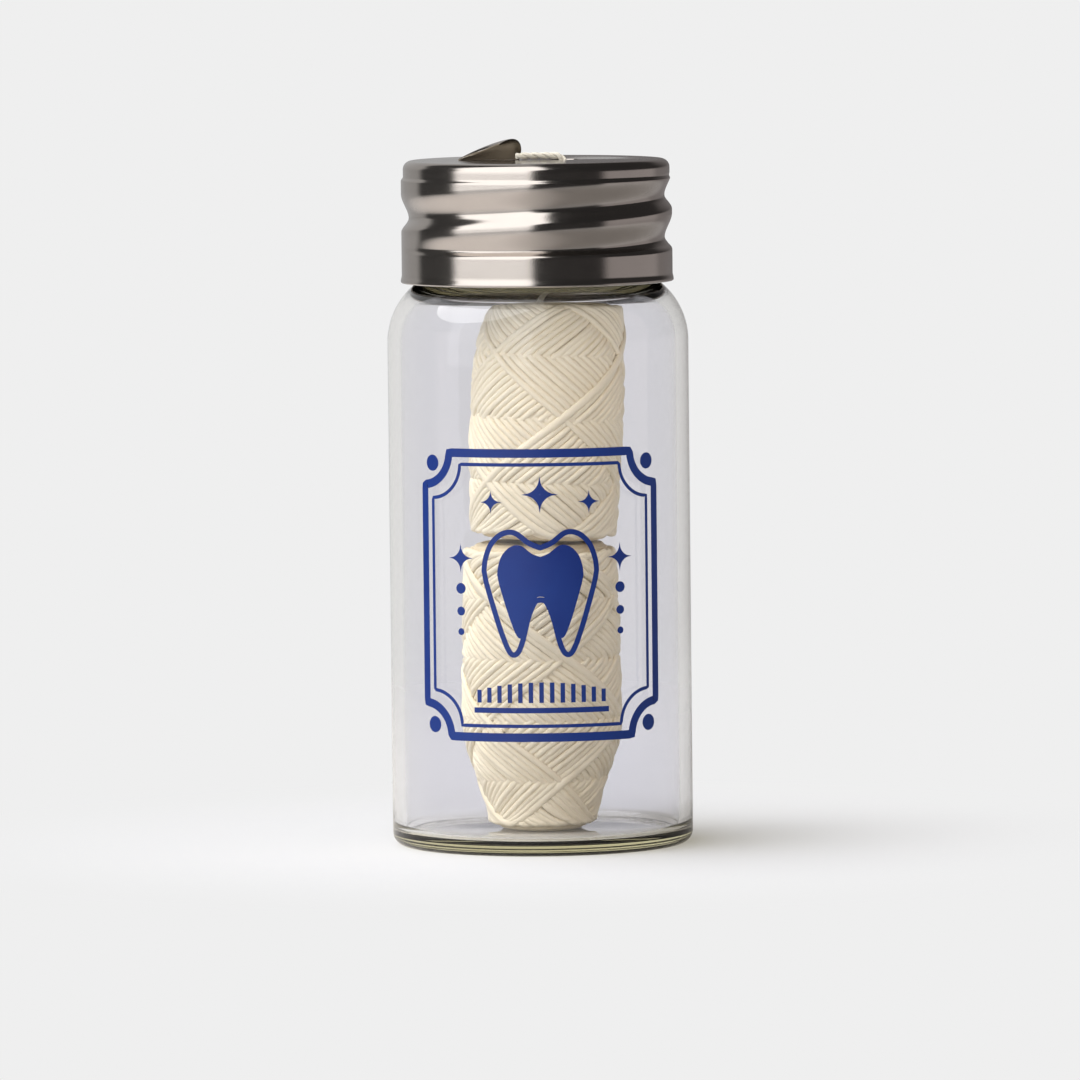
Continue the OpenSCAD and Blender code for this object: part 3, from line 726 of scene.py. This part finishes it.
def through(points, steps):
    """A smooth curve through points: cubic pieces whose slopes are taken from the neighbours."""
    points = np.asarray(points, float)
    ends = np.concatenate([2 * points[:1] - points[1:2], points, 2 * points[-1:] - points[-2:-1]])
    t = np.linspace(0.0, 1.0, steps, endpoint=False)[:, None, None]
    a, b, c, d = ends[:-3], ends[1:-2], ends[2:-1], ends[3:]
    curve = 2 * b + (c - a) * t + (2 * a - 5 * b + 4 * c - d) * t ** 2 + (3 * b - a - 3 * c + d) * t ** 3
    return np.concatenate([0.5 * curve.transpose(1, 0, 2).reshape(-1, 3), points[-1:]])


def tail_path():
    """From the liner's lower face up through the hole, a quarter bend, and along the cap's top
    towards the scoop, drifting to the front by the smooth step."""
    up = line((HOLE_X, 0, MOUTH_Z), (HOLE_X, 0, FLOSS_TOP_Z - FLOSS_BEND), 8)
    turn = arc(HOLE_X - FLOSS_BEND, FLOSS_TOP_Z - FLOSS_BEND, FLOSS_BEND, 0, 90, 12)
    bend = np.stack([turn[:, 0], np.zeros(len(turn)), turn[:, 1]], -1)
    t = np.linspace(0.0, 1.0, 40)
    start_x = HOLE_X - FLOSS_BEND
    x = start_x + (FLOSS_END_X - start_x) * t
    along = np.stack([x, -FLOSS_DRIFT * ease(t), np.full(40, FLOSS_TOP_Z)], -1)
    return even(chain(up, bend, along), 0.07)


def feed_path():
    """From inside the upper bobbin's eye up to the liner, through the points of its route."""
    knots = [(HOLE_X * x, 0.0, FLOSS_LOW_Z + (MOUTH_Z - FLOSS_LOW_Z) * z) for z, x in FEED_ROUTE]
    return even(through(knots, 12), 0.09)


def plies(path, first):
    """Two plies twisted about a path, their turns counted from its first or its last point."""
    run = run_of(path)
    run = run if first else run - run[-1]
    way = unit(np.gradient(path, axis=0))
    ref = unit(np.array([0.0, 1.0, 0.0]) - way[:, 1:2] * way)
    side = np.cross(way, ref)
    made = []
    for k in range(2):
        a = (TURN * (run / PLY_TURN + k / 2.0))[:, None]
        out = ref * np.cos(a) + side * np.sin(a)
        made.append(tube(path + PLY_OFF * out, out, PLY_W, PLY_T, 12, dome=0.12))
    return made


def make_floss():
    """The twisted floss: its end on the cap rides with the cap, and the stretch inside the vial
    bends between the bobbin's eye and the cap."""
    end = make_strands("floss_end", plies(tail_path(), True))
    finish_piece(end, "cap", "floss", LOOSE, "floss_tail")
    rise = make_strands("floss_rise", plies(feed_path(), False))
    rise.data.materials.append(LOOSE)
    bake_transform(rise)
    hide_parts("floss_feed")


def bobbin_at(h, taper, z):
    """Outer radius of a bobbin of height h at height z: drawn in at its ends, and either worn at its
    top edge or tapered to its foot."""
    u = 2 * z / h - 1
    if taper:
        return BOBBIN_R - (BOBBIN_R - FOOT_R) * (1 - ease(z / TAPER_H)) - END_DRAW * np.clip(u, 0, 1) ** 2
    wear = np.clip((z - h + SHOULDER_WEAR) / SHOULDER_WEAR, 0, 1)
    return BOBBIN_R - USED_T - END_DRAW * u * u - SHOULDER_WEAR * (1 - np.sqrt(1 - (0.9 * wear) ** 2))


def slumped(r, a, z):
    """Radius of the upper bobbin drawn in on its left by a power of the height over where it begins,
    and by one less the cosine of the angle, squared."""
    share = np.clip((z - UPPER_H + SLUMP_H) / SLUMP_H, 0, 1)
    return r - SLUMP * share ** SLUMP_POWER * ((1 - np.cos(a)) / 2) ** 2


def seated(points, z, lean):
    """Points of a bobbin leaned about Y and lifted to its place. The one that leans also stands a
    little to the right."""
    c, s = math.cos(lean), math.sin(lean)
    x, y, up = points[..., 0] + (USED_X if lean else 0.0), points[..., 1], points[..., 2]
    return np.stack([c * x + s * up, y, c * up - s * x + z], -1)


def winding(h, taper, passes, turns, sawtooth, lead, rounding, inset, seed):
    """Centre line of the outer floss. It rises and falls passes times while it goes turns times
    round. Where two strands cross, the later one lies on top: a strand's lift is 1 while the time
    of the strand that crosses it, a sawtooth of the place round the bobbin, is less than its own,
    with a smooth change between."""
    rng = np.random.default_rng(seed)
    p = np.arange(passes * PASS_RINGS + 1) / PASS_RINGS
    number, share = np.floor(p), p - np.floor(p)
    share = share - SLOW_TURN * np.sin(2 * TURN * share) / (4 * math.pi)
    cycle = number + share
    climb = np.arcsin(rounding * np.sin(TURN * (share - 0.25))) / math.asin(rounding)
    reach = UNEVEN * rng.standard_normal((2, passes + 2))
    below = reach[1][(number + (share > 0.5)).astype(int)]
    side = np.where(climb > 0, reach[0][number.astype(int)], below)
    z = h / 2 + (h / 2 - inset - 0.5 * np.abs(side)) * climb
    crossing = sawtooth * turns / passes * (cycle + share - 1)
    crossing = crossing - np.floor(crossing)
    own = cycle / passes
    lift = sum(
        ease((crossing + m) / CROSS_SOFT + 0.5) - ease((crossing + m - own) / CROSS_SOFT + 0.5)
        for m in (-1, 0, 1)
    )
    last = ease((cycle - passes + 1.2) / 0.1)
    slow = 0.05 * np.sin(cycle * 7.1 + seed) + 0.04 * np.sin(cycle * 17.3 + 2 * seed)
    r = bobbin_at(h, taper, z) - STRAND_T / 2 - STRAND_DROP * (1 - lift) * (1 - last) + 0.1 * last + slow
    middle = turns / passes * (passes - 1 + 0.25)
    a = TURN * (turns / passes * cycle - middle) + lead
    r = r if taper else slumped(r, a, z)
    return polar(r, a, z), STRAND_W * (1 + 0.35 * last)


def make_winding(body, h, taper, z, lean, *laying):
    """The outer floss of one bobbin as one thread."""
    path, wide = winding(h, taper, *laying)
    out = unit(path * np.array([1.0, 1.0, 0.0]))
    rings, run = tube(path, out, wide, STRAND_T, 8)
    piece = make_strands(body + "_floss", [(seated(rings, z, lean), run)])
    finish_piece(piece, body, "floss", FLOSS, body + "_windings")


def make_core(body, h, taper, z, lean):
    """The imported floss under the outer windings, with the bobbin's eye through it. Its side carries
    ridges of crossed strands, and its ends the rings of the strands that turn back there."""
    side_z = np.linspace(CORE_EDGE, h - CORE_EDGE, 90)
    side = np.stack([bobbin_at(h, taper, side_z) - STRAND_DROP - STRAND_T + CORE_LAP, side_z], -1)
    low, top = side[0, 0] - CORE_EDGE, side[-1, 0] - CORE_EDGE
    eye_x = EYE_R + EYE_ROUND
    outline = chain(
        line((EYE_R, h - EYE_ROUND), (EYE_R, EYE_ROUND), 30),
        arc(eye_x, EYE_ROUND, EYE_ROUND, 180, 270, 6),
        line((eye_x, 0), (low, 0), 24),
        arc(low, CORE_EDGE, CORE_EDGE, -90, 0, 8),
        side,
        arc(top, h - CORE_EDGE, CORE_EDGE, 0, 90, 8),
        line((top, h), (eye_x, h), 24),
        arc(eye_x, h - EYE_ROUND, EYE_ROUND, 90, 180, 6)[:-1],
    )
    a = np.linspace(0.0, TURN, 240, endpoint=False)
    r, up = (np.repeat(outline[:, k:k + 1], len(a), 1) for k in (0, 1))
    on_end = (up < END_H) | (up > h - END_H)
    dent = END_DEPTH * (1 - np.abs(np.sin(math.pi * (r / END_PITCH - a / TURN))))
    up = np.where(on_end, up + np.where(up > h / 2, -dent, dent), up)
    strand = np.abs(np.sin(SIDE_RIDGES * (a - (up - h / 2) / BOBBIN_R / SIDE_SLOPE)))
    outside = r > eye_x + 0.2
    r = np.where(outside & ~on_end, r - SIDE_DEPTH * (1 - strand), r)
    r = r if taper else np.where(outside, slumped(r, a, up), r)
    faces = quads(len(outline), len(a), wrap_rows=True, wrap_cols=True)
    piece = put_mesh(body + "_core", seated(polar(r, a, up), z, lean), [faces], sharp=70)
    finish_piece(piece, body, "packed_floss", PACKED_SHADED_FLOSS, body + "_body")


def make_bobbins():
    """Both bobbins, each as its packed floss and its outer windings."""
    upper = (UPPER_H, False, UPPER_Z, LEAN), (49, 65, -3, math.radians(-80.0), 0.985, 0.55, 3)
    lower = (LOWER_H, True, LOWER_Z, 0.0), (49, 82, 3, math.radians(20.0), 0.975, 0.75, 8)
    for body, (form, laying) in (("upper_bobbin", upper), ("lower_bobbin", lower)):
        make_core(body, *form)
        make_winding(body, *form, *laying)


def wrapped(name, sheets):
    """Flat grids of ink, given as distance round the glass and height, laid on its outside at the
    front and given the ink's thickness."""
    parts = []
    for flat in sheets:
        rows, cols = flat.shape[:2]
        four = quads(rows, cols)
        back = four[:, ::-1] + rows * cols
        loop = np.concatenate([
            np.arange(cols), np.arange(1, rows) * cols + cols - 1,
            (rows - 1) * cols + np.arange(cols - 2, -1, -1), np.arange(rows - 2, 0, -1) * cols
        ])
        rim = np.stack([np.roll(loop, -1), loop, loop + rows * cols, np.roll(loop, -1) + rows * cols], -1)
        a = flat[..., 0].ravel() / VIAL_R - math.pi / 2
        z = flat[..., 1].ravel() + PRINT_Z
        layers = [polar(VIAL_R + PRINT_GAP + lift, a, z) for lift in (INK_T, 0.0)]
        parts.append((np.concatenate(layers), np.concatenate([four, back, rim])))
    return put_mesh(name, *joined(parts), sharp=50, merge=0.0)


def ribbon(path, width, closed=False):
    """A flat stroke of an even width along a path."""
    path = np.asarray(path, float)
    if closed:
        path = np.concatenate([path, path[:1]])
        way = np.roll(path[:-1], -1, axis=0) - np.roll(path[:-1], 1, axis=0)
        way = np.concatenate([way, way[:1]])
    else:
        way = np.gradient(path, axis=0)
    way = unit(way)
    side = np.stack([-way[:, 1], way[:, 0]], -1) * width / 2
    return np.stack([path + side, path - side], 1)


def label_outline(half_w, half_h, notch):
    """The label's outline in order, anticlockwise from its right side."""
    corners = ((1, 1, 270), (-1, 1, 0), (-1, -1, 90), (1, -1, 180))
    return np.concatenate([arc(x * half_w, z * half_h, notch, a, a - 90, 16) for x, z, a in corners])


def star(cx, cz, r, power=0.55, steps=64, rings=4):
    """A four-pointed sparkle: the curve where the powers of its two coordinates add to one."""
    a = np.linspace(0.0, TURN, steps + 1)
    edge = r / (np.abs(np.cos(a)) ** power + np.abs(np.sin(a)) ** power) ** (1 / power)
    t = np.linspace(0.02, 1.0, rings)[:, None]
    return np.stack([cx + t * edge * np.cos(a), cz + t * edge * np.sin(a)], -1)


def dot(cx, cz, r):
    """A round spot."""
    a = np.linspace(0.0, TURN, 33)
    t = np.linspace(0.02, 1.0, 3)[:, None]
    return np.stack([cx + t * r * np.cos(a), cz + t * r * np.sin(a)], -1)


def tooth(scale, cz):
    """A molar's silhouette as a grid: across it by x, and up it from the two roots and the hollow
    between them to the crown's two cusps."""
    x = np.sin(np.linspace(-0.5, 0.5, 81) * math.pi)
    crown, low = (
        np.interp(np.abs(x), *through([(a, b, 0) for a, b in knots], 12)[:, :2].T)
        for knots in (TOOTH_CROWN, TOOTH_ROOTS)
    )
    v = np.linspace(0.0, 1.0, 13)[:, None]
    z = low + v * (crown - low)
    return np.stack([scale * TOOTH_HALF_W * np.broadcast_to(x, z.shape), cz + scale * z], -1)


def tooth_edge(scale, cz):
    """The outline of the tooth's silhouette."""
    grid = tooth(scale, cz)
    loop = np.concatenate([grid[0], grid[-1, ::-1]])
    return even(loop, 0.16, closed=True)


def make_print():
    """A plain printed label: a double frame with hollow corners, a tooth, sparkles, dots and bars."""
    sheets = []
    for half_w, half_h, notch, width in FRAMES:
        sheets.append(ribbon(even(label_outline(half_w, half_h, notch), 0.3, True), width, True))
    corner_x, corner_z, corner_r = CORNER_DOT
    sheets += [dot(x * corner_x, z * corner_z, corner_r) for x in (-1, 1) for z in (-1, 1)]
    sheets.append(tooth(TOOTH_SHARE, TOOTH_Z))
    sheets.append(ribbon(tooth_edge(1.0, TOOTH_Z), TOOTH_STROKE, True))
    sheets += [star(*sparkle) for sparkle in SPARKLES]
    sheets += [dot(x * SIDE_DOT_X, z, r) for x in (-1, 1) for z, r in SIDE_DOTS]
    for k in range(-6, 7):
        bar = line((k * BAR_STEP, BAR_TOP - BAR_SAG * k * k), (k * BAR_STEP, BAR_FOOT), 8)
        sheets.append(ribbon(bar, BAR_W))
    sheets.append(ribbon(line((-RULE_HALF_W, RULE_Z), (RULE_HALF_W, RULE_Z), 40), RULE_STROKE))
    finish_piece(wrapped("printed_label", sheets), "vial", None, INK)


def make_camera():
    """A long lens at the photograph's height and distance, turned down and rolled a little."""
    lens = bpy.data.cameras.new("camera")
    lens.lens, lens.sensor_width = LENS, 36.0
    lens.clip_start, lens.clip_end = 0.05, 20.0
    camera = placed("camera", lens)
    camera.matrix_world = (
        Matrix.Translation(CAMERA_AT)
        @ Matrix.Rotation(math.pi / 2 - math.radians(CAMERA_DOWN), 4, "X")
        @ Matrix.Rotation(-math.radians(CAMERA_ROLL), 4, "Z")
    )
    bpy.context.scene.camera = camera


def make_floor():
    """A round pale floor. Near the vial it takes light and shade, and further out it fades into the
    backdrop's own tone. Metal sees it in a painted, darker tone than the eye does, and on its right
    darker still, a painted shade for the vial's shadow there, and far out sees the room in its place."""
    a = np.linspace(0.0, TURN, 97)[:-1]
    r = np.concatenate([[0.0], np.geomspace(20.0, 600.0, 24)])[:, None]
    floor = put_mesh("studio_floor", polar(r, a, 0 * r * a), [quads(len(r), len(a), wrap_cols=True)])
    made, tree, shader = material("studio_floor")
    tree.nodes.remove(shader)
    path = put(tree, "ShaderNodeLightPath").outputs
    seen = sums(tree, "MAXIMUM", path["Is Camera Ray"], path["Is Transmission Ray"])
    place = put(tree, "ShaderNodeTexCoord").outputs["Object"]
    to_right = put(tree, "ShaderNodeSeparateXYZ", {0: place}).outputs[0]
    # Painted tones for the floor as metal sees it: dimmer than the eye sees it, and on the right painted
    # shade for the vial's shadow
    metal_tone = tinted(tree, rising(tree, to_right, (-METAL_TURN, METAL_TURN)), METAL_LEFT, METAL_RIGHT)
    lit = put(tree, "ShaderNodeBsdfDiffuse", {"Color": tinted(tree, seen, metal_tone, FLOOR_TONE)})
    glow = put(tree, "ShaderNodeEmission", {"Color": (BACKDROP, BACKDROP, BACKDROP, 1.0), "Strength": 1.0})
    distance = put(tree, "ShaderNodeVectorMath", {0: place}, operation="LENGTH").outputs["Value"]
    far = rising(tree, distance, METAL_FADE)
    plain = between(tree, path["Is Glossy Ray"], rising(tree, distance, EYE_FADE), far)
    near = mixed(tree, plain, lit.outputs[0], glow.outputs[0])
    gone = put(tree, "ShaderNodeBsdfTransparent", {"Color": (1.0, 1.0, 1.0, 1.0)}).outputs[0]
    surface = mixed(tree, sums(tree, "MULTIPLY", far, path["Is Glossy Ray"]), near, gone)
    tree.links.new(surface, tree.nodes["Material Output"].inputs["Surface"])
    floor.data.materials.append(made)


def room_ramp(tree, share, stops):
    """A colour ramp round the room, from directions in degrees and brightnesses, warmer on the right."""
    ramp = put(tree, "ShaderNodeValToRGB", {"Fac": share})
    made = ramp.color_ramp.elements
    for degrees, _ in stops[1:-1]:
        made.new((degrees + 180.0) / 360.0)
    for stop, (degrees, value) in zip(made, stops):
        stop.position = (degrees + 180.0) / 360.0
        warm = 1.0 if degrees < 0 else WARM
        stop.color = (value, value * warm, value * warm, 1.0)
    return ramp.outputs["Color"]


def make_room():
    """The world: a studio whose brightness depends on the direction round and up. High up, its light
    panel reads wider. The eye, and what is seen through glass, meet the plain backdrop instead, and
    on the left a sharp reflection is never darker than that."""
    world = bpy.data.worlds.new("studio_room")
    bpy.context.scene.world = world
    world.use_nodes = True
    tree = world.node_tree
    way = put(tree, "ShaderNodeTexCoord").outputs["Generated"]
    x, y, z = put(tree, "ShaderNodeSeparateXYZ", {0: way}).outputs
    round_at = sums(tree, "ARCTAN2", x, sums(tree, "MULTIPLY", y, -1.0))
    share = sums(tree, "ADD", sums(tree, "DIVIDE", round_at, TURN), 0.5)
    panel = 0.5 + PANEL / 360.0
    spread = rising(tree, z, DRAW, 1.0, PANEL_DRAW)
    drawn = sums(tree, "MULTIPLY", sums(tree, "SUBTRACT", share, panel), spread)
    share = sums(tree, "ADD", drawn, panel)
    low, middle, top = (room_ramp(tree, share, stops) for stops in (LOW_ROOM, MID_ROOM, TOP_ROOM))
    high = tinted(tree, rising(tree, z, MID_TO_TOP), middle, top)
    bright = rising(tree, z, BRIGHTEN, DUSK)
    high = put(tree, "ShaderNodeVectorMath", {0: high, "Scale": bright}, operation="SCALE").outputs["Vector"]
    room = tinted(tree, rising(tree, z, LOW_TO_MID), low, high)
    path = put(tree, "ShaderNodeLightPath").outputs
    backdrop = (BACKDROP, BACKDROP, BACKDROP)
    floored = put(tree, "ShaderNodeVectorMath", {0: room, 1: backdrop}, operation="MAXIMUM").outputs["Vector"]
    left = put(tree, "ShaderNodeMapRange", {"Value": x, "From Min": 0.3, "From Max": -0.3}).outputs["Result"]
    room = tinted(tree, sums(tree, "MULTIPLY", left, path["Is Singular Ray"]), room, floored)
    seen = sums(tree, "MAXIMUM", path["Is Camera Ray"], path["Is Transmission Ray"])
    tree.links.new(tinted(tree, seen, room, (*backdrop, 1.0)), tree.nodes["Background"].inputs["Color"])


def sun(name, energy, angle, colour, toward):
    """A wide lamp in the direction given, which metal and glass don't reflect."""
    light = bpy.data.lights.new(name, "SUN")
    light.energy, light.angle, light.color = energy, math.radians(angle), colour
    lamp = placed(name, light)
    lamp.matrix_world = Vector(toward).normalized().to_track_quat("Z", "Y").to_matrix().to_4x4()
    lamp.visible_glossy = False


make_camera()
make_vial()
make_cap()
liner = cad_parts["cap_liner"].data.materials
liner.clear()
liner.append(FOAM)
make_floss()
make_bobbins()
make_print()
make_floor()
make_room()
# From the left and above, which casts the soft shadow, and a warm one from the right and the front,
# which fills the shaded side of what is matte
sun("key_lamp", 3.4, 60.0, (1.0, 1.0, 1.0), (-1.0, 0.0, 1.8))
sun("fill_lamp", 1.5, 120.0, (1.0, 0.88, 0.76), (0.6, -0.7, 0.25))
bpy.context.scene.view_settings.view_transform = "Standard"
